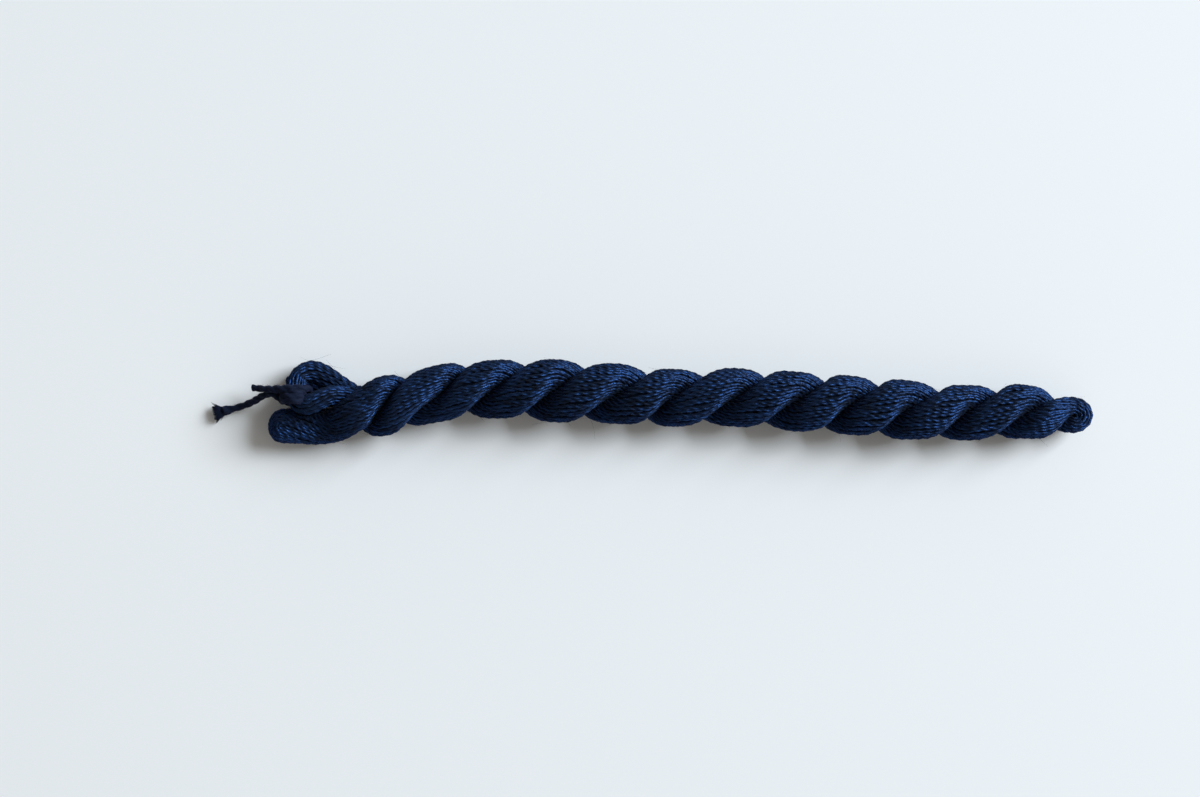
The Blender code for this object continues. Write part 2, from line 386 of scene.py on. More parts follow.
def spun(runs: Runs, thread: Thread, rng: np.random.Generator, taper: np.ndarray | float = 1.0) -> np.ndarray:
    """Rings of thread along the runs.

    A ring point is the middle line's plus the outline's radius times the cosine of its angle outward and
    the sine sideways. The angle grows by a turn in each pitch, right-handed. Every second run starts a
    quarter turn on, so that the wide places of one nest in the narrow places of the next.

    Args:
        runs: the middle lines.
        thread: what is carried along them.
        rng: the source of each run's first angle and of its unevenness.
        taper: share of the full radius at each point of a run, or everywhere.

    Returns:
        Points, runs by rings by sides by 3.
    """
    ahead = unit(np.gradient(runs.paths, axis=1))
    side = unit(np.cross(ahead, runs.outward))
    up = np.cross(side, ahead)
    along = lengths_along(runs.paths)
    first = (np.arange(len(runs.paths)) % 2)[:, None] * math.pi / 2
    first = first + rng.normal(0.0, TURN_SCATTER, first.shape)
    uneven = 1 + thread.unevenness * Wander(len(runs.paths), rng).at(along.mean(axis=0))
    angle = (first + 2 * math.pi * along / thread.pitch)[..., None] + thread.angles()
    radius = (thread.radius * uneven * taper)[..., None] * thread.outline()
    out = (radius * np.cos(angle))[..., None] * up[:, :, None]
    across = (radius * np.sin(angle))[..., None] * side[:, :, None]
    return runs.paths[:, :, None] + out + across


def tube_faces(runs: int, rings: int, sides: int) -> tuple[np.ndarray, np.ndarray]:
    """Faces of closed tubes over rings of points, with a pole at each end of each run.

    Args:
        runs: how many tubes there are.
        rings: rings of each.
        sides: points of each ring.

    Returns:
        The four-sided faces of the tubes, and the three-sided faces of their ends.
    """
    run, ring, side = np.meshgrid(np.arange(runs), np.arange(rings - 1), np.arange(sides), indexing="ij")
    base, beside = (run * rings + ring) * sides, (side + 1) % sides
    walls = np.stack([base + side, base + beside, base + sides + beside, base + sides + side], axis=-1)
    run, side, beside = run[:, 0], side[:, 0], beside[:, 0]
    first, last = run * rings * sides, (run * rings + rings - 1) * sides
    poles = runs * rings * sides
    starts = np.stack([first + beside, first + side, poles + run], axis=-1)
    ends = np.stack([last + side, last + beside, poles + runs + run], axis=-1)
    return walls.reshape(-1, 4), np.concatenate([starts.reshape(-1, 3), ends.reshape(-1, 3)])


def wall_corners(start: np.ndarray, end: np.ndarray, low: np.ndarray, high: np.ndarray) -> np.ndarray:
    """The places in a map of the corners of the walls, in the order of tube_faces.

    Args:
        start: where each wall starts along the map.
        end: where it ends.
        low: its lower side across the map.
        high: its upper side.

    Returns:
        Four places for each wall.
    """
    start, end, low, high = np.broadcast_arrays(start, end, low, high)
    corners = [(start, low), (start, high), (end, high), (end, low)]
    return np.stack([np.stack(corner, axis=-1) for corner in corners], axis=-2).reshape(-1, 2)


def yarn_map(along: np.ndarray, sides: int) -> np.ndarray:
    """The map that the finishes read: length along the run, and the turn round it from a groove.

    Args:
        along: length at each ring of each run.
        sides: points of each ring.

    Returns:
        The corners' places, in the order of tube_faces.
    """
    here = along / MAP_LENGTH + MAP_SHIFT * np.arange(len(along))[:, None]
    low = np.arange(sides)[None, None, :] / sides
    walls = wall_corners(here[:, :-1, None], here[:, 1:, None], low, low + 1 / sides)
    caps = np.full((2, len(along), sides, 3, 2), 0.5)
    caps[0, ..., 0], caps[1, ..., 0] = here[:, :1, None], here[:, -1:, None]
    return np.concatenate([walls, caps.reshape(-1, 2)])


def strip_map(runs: int, rings: int, sides: int) -> np.ndarray:
    """A map with no overlaps: all the tubes as one long strip, cut to rows, and a last row of ends.

    Args:
        runs: how many tubes there are.
        rings: rings of each.
        sides: points of each ring.

    Returns:
        The corners' places, in the order of tube_faces.
    """
    bands = runs * (rings - 1)
    rows = max(1, round(math.sqrt(bands / sides / STRIP_SHAPE)))
    columns = math.ceil(bands / rows)
    band, side = np.arange(bands)[:, None], np.arange(sides)[None, :]
    left = (band % columns) / columns
    filled = 1 - 2 * STRIP_MARGIN
    low = (band // columns + STRIP_MARGIN + filled * side / sides) / (rows + 1)
    walls = wall_corners(left, left + 1 / columns, low, low + filled / sides / (rows + 1))
    ends = 2 * runs * sides
    at, wide = np.arange(ends) / ends, CAP_WIDTH / ends
    base, top = (np.full(ends, rows + part) / (rows + 1) for part in (STRIP_MARGIN, 1 - STRIP_MARGIN))
    caps = np.stack([at, base, at + wide, base, at + wide / 2, top], axis=-1)
    return np.concatenate([walls, caps.reshape(-1, 2)])


def in_scene(name: str, data: bpy.types.ID) -> bpy.types.Object:
    """Puts a mesh, lamp or camera into the scene.

    Args:
        name: the name of the object that holds it.
        data: the mesh, lamp or camera.

    Returns:
        That object.
    """
    thing = bpy.data.objects.new(name, data)
    bpy.context.scene.collection.objects.link(thing)
    return thing


def tube_piece(
    name: str, rings: np.ndarray, material: bpy.types.Material, node: str
) -> bpy.types.Object:
    """Closed tubes as one piece, with its maps.

    Args:
        name: the piece's name.
        rings: points, runs by rings by sides by 3, in millimetres.
        material: its finish.
        node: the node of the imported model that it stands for.

    Returns:
        The piece.
    """
    runs, count, sides = rings.shape[:3]
    middle = rings.mean(axis=2)
    points = np.concatenate([rings.reshape(-1, 3), middle[:, 0], middle[:, -1]]) * MM
    walls, caps = tube_faces(runs, count, sides)
    mesh = bpy.data.meshes.new(name)
    mesh.from_pydata(points.tolist(), [], walls.tolist() + caps.tolist())
    for label, places in (
        (YARN_MAP, yarn_map(lengths_along(middle), sides)),
        (BAKE_MAP, strip_map(runs, count, sides)),
    ):
        mesh.uv_layers.new(name=label).uv.foreach_set("vector", places.astype(np.float32).ravel())
    mesh.shade_smooth()
    mesh.materials.append(material)
    thing = in_scene(name, mesh)
    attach(thing, ROOT_BODY)
    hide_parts(node)
    log.info("%s: %d runs, %d triangles", name, runs, 2 * len(walls) + len(caps))
    return thing


# ---- the hank ----
@dataclass(frozen=True)
class Wound:
    """Runs of floss side by side round a bundle, which stray from their places."""

    runs: int = 16
    drift: float = 0.16  # of the room of a run: how far it strays sideways
    sink: float = 0.2  # how far it strays inwards

    def first_angles(self) -> np.ndarray:
        """The angle of each run round the bundle, evenly apart."""
        return (np.arange(self.runs) + 0.5)[:, None] * (2 * math.pi / self.runs)

    def strayed(self, x: np.ndarray, rng: np.random.Generator) -> tuple[np.ndarray, np.ndarray]:
        """How far the runs stray from their places: the drift and the sink, each times a slow wave.

        Args:
            x: places along the bundle.
            rng: the source of the waves.

        Returns:
            By what angle round the bundle, and how deep, runs by places.
        """
        room = 2 * math.pi / self.runs
        sideways = self.drift * room * Wander(self.runs, rng).at(x)
        return sideways, self.sink * (1 + Wander(self.runs, rng).at(x)) / 2


@dataclass(frozen=True)
class PliedStrands(Wound):
    """The two strands of the hank, and the runs of floss on them.

    At a place along X, a strand is an oval beside the middle of the body. Both ovals turn round that
    middle, left-handed, and are pressed flat against each other. A run goes round its own strand the
    other way. The near strand goes on into the thick near end.
    """

    runs: int = 32  # on the outside of each strand
    strand_offset: float = 0.44  # of the reach: from the body's middle to a strand's
    strand_across: float = 0.74  # of the reach: half a strand's width, square to the line through both
    settled: float = 0.92  # of the reach: the body's half height
    flat_depth: float = 0.25  # how deep its lowest places are pressed flat
    fold_lift: float = 1.3  # how much higher the folded end lies
    strand_twist: float = 1.28  # turns of a run round its strand for each turn of the strands
    near_twist: float = 0.075  # radians a millimetre, in the near end
    fold_x: float = 122.4  # where the runs turn round at the fold, and how far they reach
    end_x: float = 129.2
    near_x: float = -123.6  # where they turn round in the near end, and how much further they reach
    near_round: float = 4.8
    near_creep: float = 0.001  # keeps the near end's last place moving, so that it has a direction
    start_x: float = -101.5  # where the far strand starts, over what length and how deep it is tucked in
    start_round: float = 4.0
    start_depth: float = 3.0
    join_from: float = -99.0  # where the near end goes over into the near strand
    join_to: float = -93.0
    sample: float = 0.6
    drift: float = 0.26
    drift_start: float = 6.0  # over what length it sets in from an end
    sink: float = 0.22
    crowded: float = 0.45  # how far every second run goes under where the strands are narrow
    face_gap: float = 0.85  # of its radius: from the face between the strands to its middle
    turn_points: int = 22
    turn_passes: int = 4
    clearance: float = 1.5  # of its unevenness: how far it stays off the floor
    core_depth: float = 1.15  # from the outside of the runs to the inside, whose dark colour is painted shade
    core_lowest: float = 0.4
    core_ends: tuple = (0.5, 1.5)  # how much later it starts and sooner it ends
    core_pole: float = 0.02  # share of its radius at its ends
    core_count: int = 180
    core_sides: int = 28

    def places(self, start: float) -> np.ndarray:
        """Places along the body, from the start to the fold."""
        return np.linspace(start, self.fold_x, round((self.fold_x - start) / self.sample) + 1)

    def turned(self, x: np.ndarray) -> np.ndarray:
        """The angle that the pair of strands has turned through at x, left-handed."""
        return smooth(x, TWISTS.x, -math.pi * np.array(TWISTS.half_turns))

    def body_rows(self, x: np.ndarray) -> tuple[np.ndarray, np.ndarray, np.ndarray]:
        """The middle of the body and the reach of its strands.

        Args:
            x: places along it.

        Returns:
            The middle in Y and in Z, and the reach, at each place.
        """
        reach = smooth(x, TURNS.x + FOLD.x, TURNS.reach + FOLD.reach)
        spread = smooth(x, TURNS.x + FOLD.x[1:], TURNS.reach + FOLD.reach[1:])
        y = smooth(x, TURNS.x + FOLD.x[1:], TURNS.y + FOLD.y[1:])
        lift = self.fold_lift * np.clip((x - TURNS.x[-1]) / (FOLD.x[0] - TURNS.x[-1]), 0, 1)
        return y, self.settled * spread - self.flat_depth + lift, reach

    def on_strand(
        self, x: np.ndarray, angle: np.ndarray, sign: int, radius: float, depth: np.ndarray
    ) -> Runs:
        """Runs on a plied strand.

        A run's place on the line through both strands is the strand's offset plus its half width times
        the cosine of the run's angle, but short of the other strand. Square to that line it is the half
        width there times the sine. The pair's angle then turns both.

        Args:
            x: places along the body.
            angle: the angle of each run round its strand, runs by places, from straight outward.
            sign: 1 for the near strand and -1 for the far one, which lies opposite.
            radius: the yarn's radius.
            depth: how far each run lies under the outside, runs by places.

        Returns:
            The runs, with the way out of the strand.
        """
        y, z, reach = self.body_rows(x)
        turned = self.turned(x)
        narrow = np.clip((TURNS.reach[-1] - reach) / (TURNS.reach[-1] - FOLD.reach[0]), 0, 1)
        under = depth + radius + self.crowded * narrow * (np.arange(len(angle)) % 2)[:, None]
        along = (1 - self.strand_offset) * reach - under
        out = np.maximum(self.strand_offset * reach + along * np.cos(angle), self.face_gap * radius)
        sideways = (self.strand_across * reach - under) * np.sin(angle)
        forward = np.stack([0 * x, np.cos(turned), self.settled * np.sin(turned)], axis=-1)
        square = np.stack([0 * x, -np.sin(turned), self.settled * np.cos(turned)], axis=-1)
        middle = np.stack([x, y, z], axis=-1)
        paths = middle + sign * (out[..., None] * forward + sideways[..., None] * square)
        outward = sign * (np.cos(angle)[..., None] * forward + np.sin(angle)[..., None] * square)
        return Runs(paths, unit(outward))

    def near_strand(self, radius: float, rng: np.random.Generator) -> tuple[Runs, np.ndarray]:
        """Runs on the near strand, from the near end to the fold.

        Args:
            radius: the yarn's radius.
            rng: the source of their drift.

        Returns:
            The runs, and their angles round the strand at the fold.
        """
        x = self.places(self.near_x)
        turned = self.turned(x)
        plied = eased((x - self.join_from) / (self.join_to - self.join_from))
        slope = plied * (1 - self.strand_twist) * np.gradient(turned, x) + (1 - plied) * self.near_twist
        steps = (slope[1:] + slope[:-1]) / 2 * np.diff(x)
        drift, depth = self.strayed(x, rng)
        settling = eased((x - self.near_x) / self.drift_start) * eased((self.fold_x - x) / self.drift_start)
        lab = self.first_angles() + np.concatenate([[0.0], np.cumsum(steps)]) + drift * settling
        body = self.on_strand(x, lab - turned, 1, radius, depth)
        near_x = np.minimum(x, NEAR_END.x[-1] + self.near_creep * (x - self.near_x))
        near_y, near_z, wide, high = (smooth(near_x, NEAR_END.x, column) for column in NEAR_END[1:])
        middle, under = np.stack([near_x, near_y, near_z], axis=-1), radius + depth
        near = on_ovals(middle, wide - under, high - under, lab)
        plied = plied[None, :, None]
        paths = plied * body.paths + (1 - plied) * near.paths
        return Runs(paths, unit(plied * body.outward + (1 - plied) * near.outward)), (lab - turned)[:, -1]

    def far_strand(self, at_fold: np.ndarray, radius: float, rng: np.random.Generator) -> Runs:
        """Runs on the far strand, from the head's root to the fold.

        Args:
            at_fold: the angles of the near strand's runs at the fold.
            radius: the yarn's radius.
            rng: the source of their drift.

        Returns:
            The runs, in the order of the near strand's runs that they meet.
        """
        x = self.places(self.start_x)
        turned = self.turned(x)
        drift, depth = self.strayed(x, rng)
        angle = -at_fold[:, None] - self.strand_twist * (turned - turned[-1])
        angle = angle + drift * eased((self.fold_x - x) / self.drift_start)
        tucked = np.clip((x - self.start_x) / self.start_round, 0, 1)
        depth = depth + self.start_depth * (1 - np.sqrt(1 - (1 - tucked) ** 2))
        return self.on_strand(x, angle, -1, radius, depth)

    def hank_runs(self, thread: Thread, rng: np.random.Generator) -> Runs:
        """The hank's runs: up the far strand, round the fold, down the near one, round its end, and back.

        Args:
            thread: the yarn.
            rng: the source of their drift.

        Returns:
            The runs, which pass any place along the hank four times.
        """
        near, at_fold = self.near_strand(thread.radius, rng)
        far = self.far_strand(at_fold, thread.radius, rng)
        first, partner = there_and_back(self.runs)
        fold_depth = (self.end_x - self.fold_x - thread.radius) / (FOLD.reach[0] - thread.radius)
        near_depth = (self.near_round - thread.radius) / (NEAR_END.half_width[0] - thread.radius)
        runs = far.picked(first)
        for leg, ahead, reach in (
            (near.picked(first).backwards(), ONWARD, fold_depth),
            (near.picked(partner), -ONWARD, near_depth),
            (far.picked(partner).backwards(), ONWARD, fold_depth),
        ):
            runs = runs.turned_into(leg, ahead, reach, self.turn_points)
        lowest = (1 + self.clearance * thread.unevenness) * thread.radius
        return runs.relaxed(self.turn_passes).stepped(thread.step).above(lowest)

    def core_rings(self) -> np.ndarray:
        """Rings of the inside of both strands, whose dark finish is painted shade: the union of their ovals,
        a depth under the outside.

        The radius at an angle is where a line from the body's middle leaves the oval of the strand on
        that side: the larger root of the square that puts its point on the oval.

        Returns:
            Points, one by rings by sides by 3.
        """
        later, sooner = self.core_ends
        x = np.linspace(self.start_x + later, self.end_x - sooner, self.core_count)
        y, z, reach = (row[:, None] for row in self.body_rows(x))
        angle = np.linspace(0.0, 2 * math.pi, self.core_sides, endpoint=False)[None]
        offset, along = self.strand_offset * reach, (1 - self.strand_offset) * reach
        forward, sideways = np.abs(np.cos(angle)), np.abs(np.sin(angle))
        square = (forward / along) ** 2 + (sideways / (self.strand_across * reach)) ** 2
        half = forward * offset / along**2
        radius = (half + np.sqrt(half**2 - square * ((offset / along) ** 2 - 1))) / square - self.core_depth
        start = np.clip((x - x[0]) / self.start_round, 0, 1)
        end = np.clip((x[-1] - x) / (self.end_x - self.fold_x), 0, 1)
        round_off = np.sqrt((1 - (1 - start) ** 2) * (1 - (1 - end) ** 2))
        radius = radius * np.maximum(round_off, self.core_pole)[:, None]
        facing = angle + self.turned(x)[:, None]
        ring_y = y + radius * np.cos(facing)
        ring_z = np.maximum(z + self.settled * radius * np.sin(facing), self.core_lowest)
        return np.stack(np.broadcast_arrays(x[:, None], ring_y, ring_z), axis=-1)[None]


@dataclass(frozen=True)
class LoopedBundle(Wound):
    """Runs of floss along a bundle with a middle line of its own."""

    line: Bundle = HEAD_LOOP
    twist: float = 0.05  # radians a millimetre
    fold_depth: float = 0.85  # how far they reach where they turn round, for each unit of half width
    fold_points: int = 12
    fold_passes: int = 2
    core_depth: float = 1.1  # from the outside of the runs to the inside, whose dark colour is painted shade
    core_step: float = 1.5
    core_sides: int = 16

    def loop_runs(self, thread: Thread, rng: np.random.Generator) -> Runs:
        """Runs on ovals square to the middle line, which go slowly round it.

        Args:
            thread: the yarn.
            rng: the source of their drift.

        Returns:
            The runs.
        """
        rows = smooth_rows(self.line, thread.step)
        along = lengths_along(rows[None, :, :3])[0]
        drift, depth = self.strayed(along, rng)
        angle = self.first_angles() - self.twist * (along - along[-1]) + drift
        under = thread.radius + depth
        runs = on_ovals(rows[:, :3], rows[:, 3] - under, rows[:, 4] - under, angle)
        return runs.above(thread.radius).stepped(thread.step)

    def folded_runs(self, thread: Thread, ahead: np.ndarray, rng: np.random.Generator) -> Runs:
        """Runs that turn round at the end of the middle line and come back on its other side.

        Args:
            thread: the yarn.
            ahead: the way on at that end, one long.
            rng: the source of their drift.

        Returns:
            The runs, each there and back.
        """
        runs = self.loop_runs(thread, rng)
        first, partner = there_and_back(self.runs)
        back = runs.picked(partner).backwards()
        folded = runs.picked(first).turned_into(back, ahead, self.fold_depth, self.fold_points)
        return folded.relaxed(self.fold_passes).stepped(thread.step)

    def core_rings(self) -> np.ndarray:
        """Rings of the inside, whose dark finish is painted shade, on ovals a depth under the outside.

        Returns:
            Points, one by rings by sides by 3.
        """
        rows = smooth_rows(self.line, self.core_step)
        angle = np.linspace(0.0, 2 * math.pi, self.core_sides, endpoint=False)[:, None]
        wide, high = rows[:, 3] - self.core_depth, rows[:, 4] - self.core_depth
        return on_ovals(rows[:, :3], wide, high, angle).paths.swapaxes(0, 1)[None]


# ---- finishes ----
@dataclass(frozen=True)
class Net:
    """A node tree, with short calls that add nodes to it."""

    tree: bpy.types.NodeTree

    def add(self, kind: str, **inputs: object) -> bpy.types.Node:
        """A new node.

        Args:
            kind: Blender's name of the kind of node.
            inputs: values that are set, and other nodes' outputs that are linked.

        Returns:
            The node.
        """
        node = self.tree.nodes.new(kind)
        self.fill(node, inputs)
        return node

    def fill(self, node: bpy.types.Node, inputs: dict[str | int, object]) -> None:
        """Sets or links inputs of a node.

        Args:
            node: the node.
            inputs: by name or number, values that are set and other nodes' outputs that are linked.
        """
        for label, value in inputs.items():
            if isinstance(value, bpy.types.NodeSocket):
                self.tree.links.new(value, node.inputs[label])
            else:
                node.inputs[label].default_value = value

    def math(self, operation: str, first: object, second: object) -> bpy.types.NodeSocket:
        """Adds a node that works out a sum.

        Args:
            operation: Blender's name of the kind of sum.
            first: a value or another node's output.
            second: likewise.

        Returns:
            The output with its result.
        """
        node = self.tree.nodes.new("ShaderNodeMath")
        node.operation = operation
        self.fill(node, {0: first, 1: second})
        return node.outputs[0]


FIBRE_INPUTS = {"Map": "Vector", "Fibres Round": "Float", "Lean": "Float"}
FIBRE_INPUTS |= {"Dark": "Color", "Light": "Color", "Smoothest": "Float", "Roughest": "Float"}
FIBRE_OUTPUTS = {"Colour": "Color", "Roughness": "Float", "Height": "Float"}
FINE_ALONG = 9.0  # cells of the streaks' noise in a map length
SLOW_ALONG = 1.7  # and of the slow noise
SHADED = {"From Min": 0.12, "From Max": 0.42}  # the product of both that goes from dark to light
ROUGHENED = {"From Min": 0.3, "From Max": 0.7}  # the streaks' noise that goes from smooth to rough
MIX_FACTOR, MIX_FIRST, MIX_SECOND, MIX_RESULT = 0, 6, 7, 2  # the Mix node's sockets for colours


def fibre_group() -> bpy.types.ShaderNodeTree:
    """Makes the look of spun fibres: streaks that lean along the ply, and a slow change of shade.

    The map's length and turn are scaled and sheared into streak coordinates, where a noise is read. A
    second, slow noise along the yarn shades it.

    Returns:
        The node group.
    """
    group = bpy.data.node_groups.new("spun fibres", "ShaderNodeTree")
    for direction, sockets in (("INPUT", FIBRE_INPUTS), ("OUTPUT", FIBRE_OUTPUTS)):
        for label, kind in sockets.items():
            group.interface.new_socket(label, in_out=direction, socket_type=f"NodeSocket{kind}")
    net = Net(group)
    given = net.add("NodeGroupInput").outputs
    split = net.add("ShaderNodeSeparateXYZ", Vector=given["Map"])
    along, around = split.outputs["X"], split.outputs["Y"]
    turned = net.math("ADD", around, net.math("MULTIPLY", along, given["Lean"]))
    across = net.math("MULTIPLY", turned, given["Fibres Round"])
    streak = net.add("ShaderNodeCombineXYZ", X=net.math("MULTIPLY", along, FINE_ALONG), Y=across)
    fine = net.add("ShaderNodeTexNoise", Vector=streak.outputs[0], Scale=1.0, Detail=2.0, Roughness=0.6)
    slow_place = net.add("ShaderNodeCombineXYZ", X=net.math("MULTIPLY", along, SLOW_ALONG), Y=around)
    slow = net.add("ShaderNodeTexNoise", Vector=slow_place.outputs[0], Scale=1.0, Detail=1.0)
    shade = net.math("MULTIPLY", fine.outputs["Fac"], slow.outputs["Fac"])
    shade = net.add("ShaderNodeMapRange", Value=shade, **SHADED)
    ends = {"To Min": given["Smoothest"], "To Max": given["Roughest"]}
    rough = net.add("ShaderNodeMapRange", Value=fine.outputs["Fac"], **ROUGHENED, **ends)
    colour = net.add("ShaderNodeMix")
    colour.data_type = "RGBA"
    net.fill(colour, {MIX_FACTOR: shade.outputs[0], MIX_FIRST: given["Dark"], MIX_SECOND: given["Light"]})
    result = colour.outputs[MIX_RESULT]
    net.add("NodeGroupOutput", Colour=result, Roughness=rough.outputs[0], Height=fine.outputs["Fac"])
    return group


@dataclass(frozen=True)
class FibreFinish:
    """The finish of a spun thread."""

    name: str
    dark: tuple  # in the streaks
    light: tuple  # between them
    smoothest: float
    roughest: float
    specular: float
    specular_tint: tuple
    sheen: float
    sheen_tint: tuple
    fibres: float  # streaks round the yarn
    lean: float  # turns of a streak round the yarn in one map length
    bump: float  # depth of the streaks in metres
    sheen_rough: float = 0.5
    metallic: float = 0.0  # share of the reflection that takes the fibres' colour, as from inside them
    gloss_along: float = 0.0  # how much narrower the gloss is along the fibres than across them
    gloss_turn: float = 0.25  # turns from the map's direction to the way in which it is narrow

    def material(self, group: bpy.types.ShaderNodeTree) -> bpy.types.Material:
        """Puts the group's streaks on a Principled shader with a tinted gloss and a sheen.

        Args:
            group: the node group of spun fibres.

        Returns:
            The material.
        """
        material = bpy.data.materials.new(self.name)
        material.use_nodes = True
        net = Net(material.node_tree)
        place = net.add("ShaderNodeUVMap")
        place.uv_map = YARN_MAP
        fibres = net.add("ShaderNodeGroup")
        fibres.node_tree = group
        look = (self.fibres, self.lean, self.dark, self.light, self.smoothest, self.roughest)
        net.fill(fibres, dict(zip(FIBRE_INPUTS, (place.outputs[0], *look), strict=True)))
        bump = net.add("ShaderNodeBump", Strength=1.0, Distance=self.bump, Height=fibres.outputs["Height"])
        dress = {
            "Base Color": fibres.outputs["Colour"],
            "Roughness": fibres.outputs["Roughness"],
            "Normal": bump.outputs[0],
            "Metallic": self.metallic,
            "Specular IOR Level": self.specular,
            "Specular Tint": self.specular_tint,
            "Sheen Weight": self.sheen,
            "Sheen Tint": self.sheen_tint,
            "Sheen Roughness": self.sheen_rough,
            "Anisotropic": self.gloss_along,
            "Anisotropic Rotation": self.gloss_turn,
        }
        if self.gloss_along > 0:
            tangent = net.add("ShaderNodeTangent")
            tangent.direction_type = "UV_MAP"
            tangent.uv_map = YARN_MAP
            dress["Tangent"] = tangent.outputs[0]
        net.fill(material.node_tree.nodes["Principled BSDF"], dress)
        return material


FLOSS_FINISH = FibreFinish(
    name="navy floss",
    dark=(0.0058, 0.0082, 0.0165, 1.0),
    light=(0.0145, 0.046, 0.152, 1.0),
    smoothest=0.27,
    roughest=0.38,
    specular=0.2,
    specular_tint=(0.07, 0.19, 0.45, 1.0),
    sheen=0.04,
    sheen_tint=(0.5, 0.65, 0.9, 1.0),
    sheen_rough=0.7,
    fibres=26.0,
    lean=-0.9,
    bump=0.00006,
    metallic=0.8,
    gloss_along=0.9,
)
TIE_FINISH = FibreFinish(
    name="navy tie",
    dark=(0.0035, 0.0055, 0.012, 1.0),
    light=(0.009, 0.013, 0.030, 1.0),
    smoothest=0.6,
    roughest=0.8,
    specular=0.15,
    specular_tint=(0.35, 0.5, 1.0, 1.0),
    sheen=0.07,
    sheen_tint=(0.4, 0.42, 1.0, 1.0),
    fibres=30.0,
    lean=-0.7,
    bump=0.00008,
)
# The inside that shows between the runs: its colours, far darker than the floss's own, are painted shade.
CORE_PAINTED_SHADE = FibreFinish(
    name="navy inside painted shade",
    dark=(0.0010, 0.0018, 0.0045, 1.0),
    light=(0.0025, 0.005, 0.012, 1.0),
    smoothest=0.75,
    roughest=0.9,
    specular=0.1,
    specular_tint=(0.3, 0.5, 1.0, 1.0),
    sheen=0.0,
    sheen_tint=(0.2, 0.4, 1.0, 1.0),
    fibres=60.0,
    lean=0.5,
    bump=0.00005,
)


# ---- loose fibres ----
FIBRE = Thread(radius=0.035, sides=3)
TUFT = Thread(radius=0.13, sides=4)
FIBRE_TAPER = np.linspace(1.0, 0.4, 7)


@dataclass(frozen=True)
class Strays:
    """How fibres stand out of a yarn."""

    length: float
    height: float  # of their tips, at most
    root: float  # how far from the yarn's middle line they start
    sway: float = 0.3  # how far they lean sideways, for each unit of length
    tilt: float = 0.9  # radians from straight outward to where they leave, at most
    lengths: tuple = (0.5, 1.4)  # shortest and longest, for each unit of the length
    heights: tuple = (0.2, 1.0)  # lowest and highest, for each unit of the height

    def fibres(self, runs: Runs, count: int, rng: np.random.Generator) -> Runs:
        """Fibres that leave their run at random places and bend away from it.

        A point is the root plus the length along the run times t, plus the height outward times t
        squared, plus the sway sideways times t squared, as t goes from 0 to 1.

        Args:
            runs: the runs that they leave.
            count: how many there are.
            rng: the source of their places.

        Returns:
            The fibres, as runs.
        """
        run = rng.integers(0, len(runs.paths), count)
        at = rng.integers(2, runs.paths.shape[1] - 2, count)
        way = rng.choice([-1.0, 1.0], (count, 1))
        ahead = way * unit(runs.paths[run, at + 1] - runs.paths[run, at - 1])
        side = unit(np.cross(ahead, unit(runs.outward[run, at])))
        tilt = rng.uniform(-self.tilt, self.tilt, (count, 1))
        away = np.cos(tilt) * np.cross(side, ahead) + np.sin(tilt) * side
        t = np.linspace(0.0, 1.0, len(FIBRE_TAPER))[None, :, None]
        length = self.length * rng.uniform(*self.lengths, (count, 1, 1))
        height = self.height * rng.uniform(*self.heights, (count, 1, 1))
        sway = self.sway * length * rng.normal(0.0, 1.0, (count, 1, 1))
        root = (runs.paths[run, at] + self.root * away)[:, None]
        bend = height * t**2 * away[:, None] + sway * t**2 * side[:, None]
        paths = root + length * t * ahead[:, None] + bend
        return Runs(paths, np.broadcast_to(side[:, None], paths.shape)).above(FIBRE.radius)


@dataclass(frozen=True)
class Brush:
    """The fibres that spread from the end of a yarn."""

    count: int = 460
    width: float = 1.2  # of the yarn's radius: how far from its middle line they start, at most
    length: float = 3.4
    shortest: float = 0.35  # of the length
    inside: float = 0.5  # of their length: how far they start inside the yarn
    spreads: tuple = (0.3, 0.75)  # for each unit of length, at least and at most
    curve: float = 1.3  # power of t with which they spread
    lean: float = 0.12  # to one side, for each unit of length
    flat: float = 0.5  # height of the brush for each unit of its width
    base: int = 4  # points from the yarn's end to where its direction is read

    def fibres(self, run: Runs, radius: float, rng: np.random.Generator) -> Runs:
        """The brush: each fibre starts in the yarn's section and goes on, plus a spread and a lean.

        The spread grows with a power of t, and is larger the further out the fibre starts.

        Args:
            run: the yarn's run.
            radius: the yarn's radius.
            rng: the source of their places.

        Returns:
            The fibres, as runs.
        """
        end = run.paths[0, -1]
        ahead = unit(end - run.paths[0, -1 - self.base])
        side = unit(np.cross(ahead, UPRIGHT))
        up = np.cross(side, ahead)
        each = (self.count, 1, 1)
        angle = rng.uniform(0.0, 2 * math.pi, each)
        out = np.sqrt(rng.uniform(0.0, 1.0, each))
        t = np.linspace(-self.inside, 1.0, len(FIBRE_TAPER))[None, :, None]
        past = np.maximum(t, 0.0)
        reach = self.length * rng.uniform(self.shortest, 1.0, each)
        wide = self.width * radius * out + past**self.curve * reach * out * rng.uniform(*self.spreads, each)
        lean = rng.normal(0.0, self.lean, each) * reach * past
        across = (wide * np.cos(angle) + lean) * side
        paths = end + reach * t * ahead + across + self.flat * wide * np.sin(angle) * up
        return Runs(paths, np.broadcast_to(up, paths.shape)).above(TUFT.radius)


# ---- the pieces ----
FLOSS = Thread(radius=0.64, sides=8, pitch=5.6, step=0.54, ply_offset=0.38, unevenness=0.07)
TIE_YARN = Thread(radius=1.2, sides=12, pitch=6.4, step=0.4, ply_offset=0.24, unevenness=0.07)


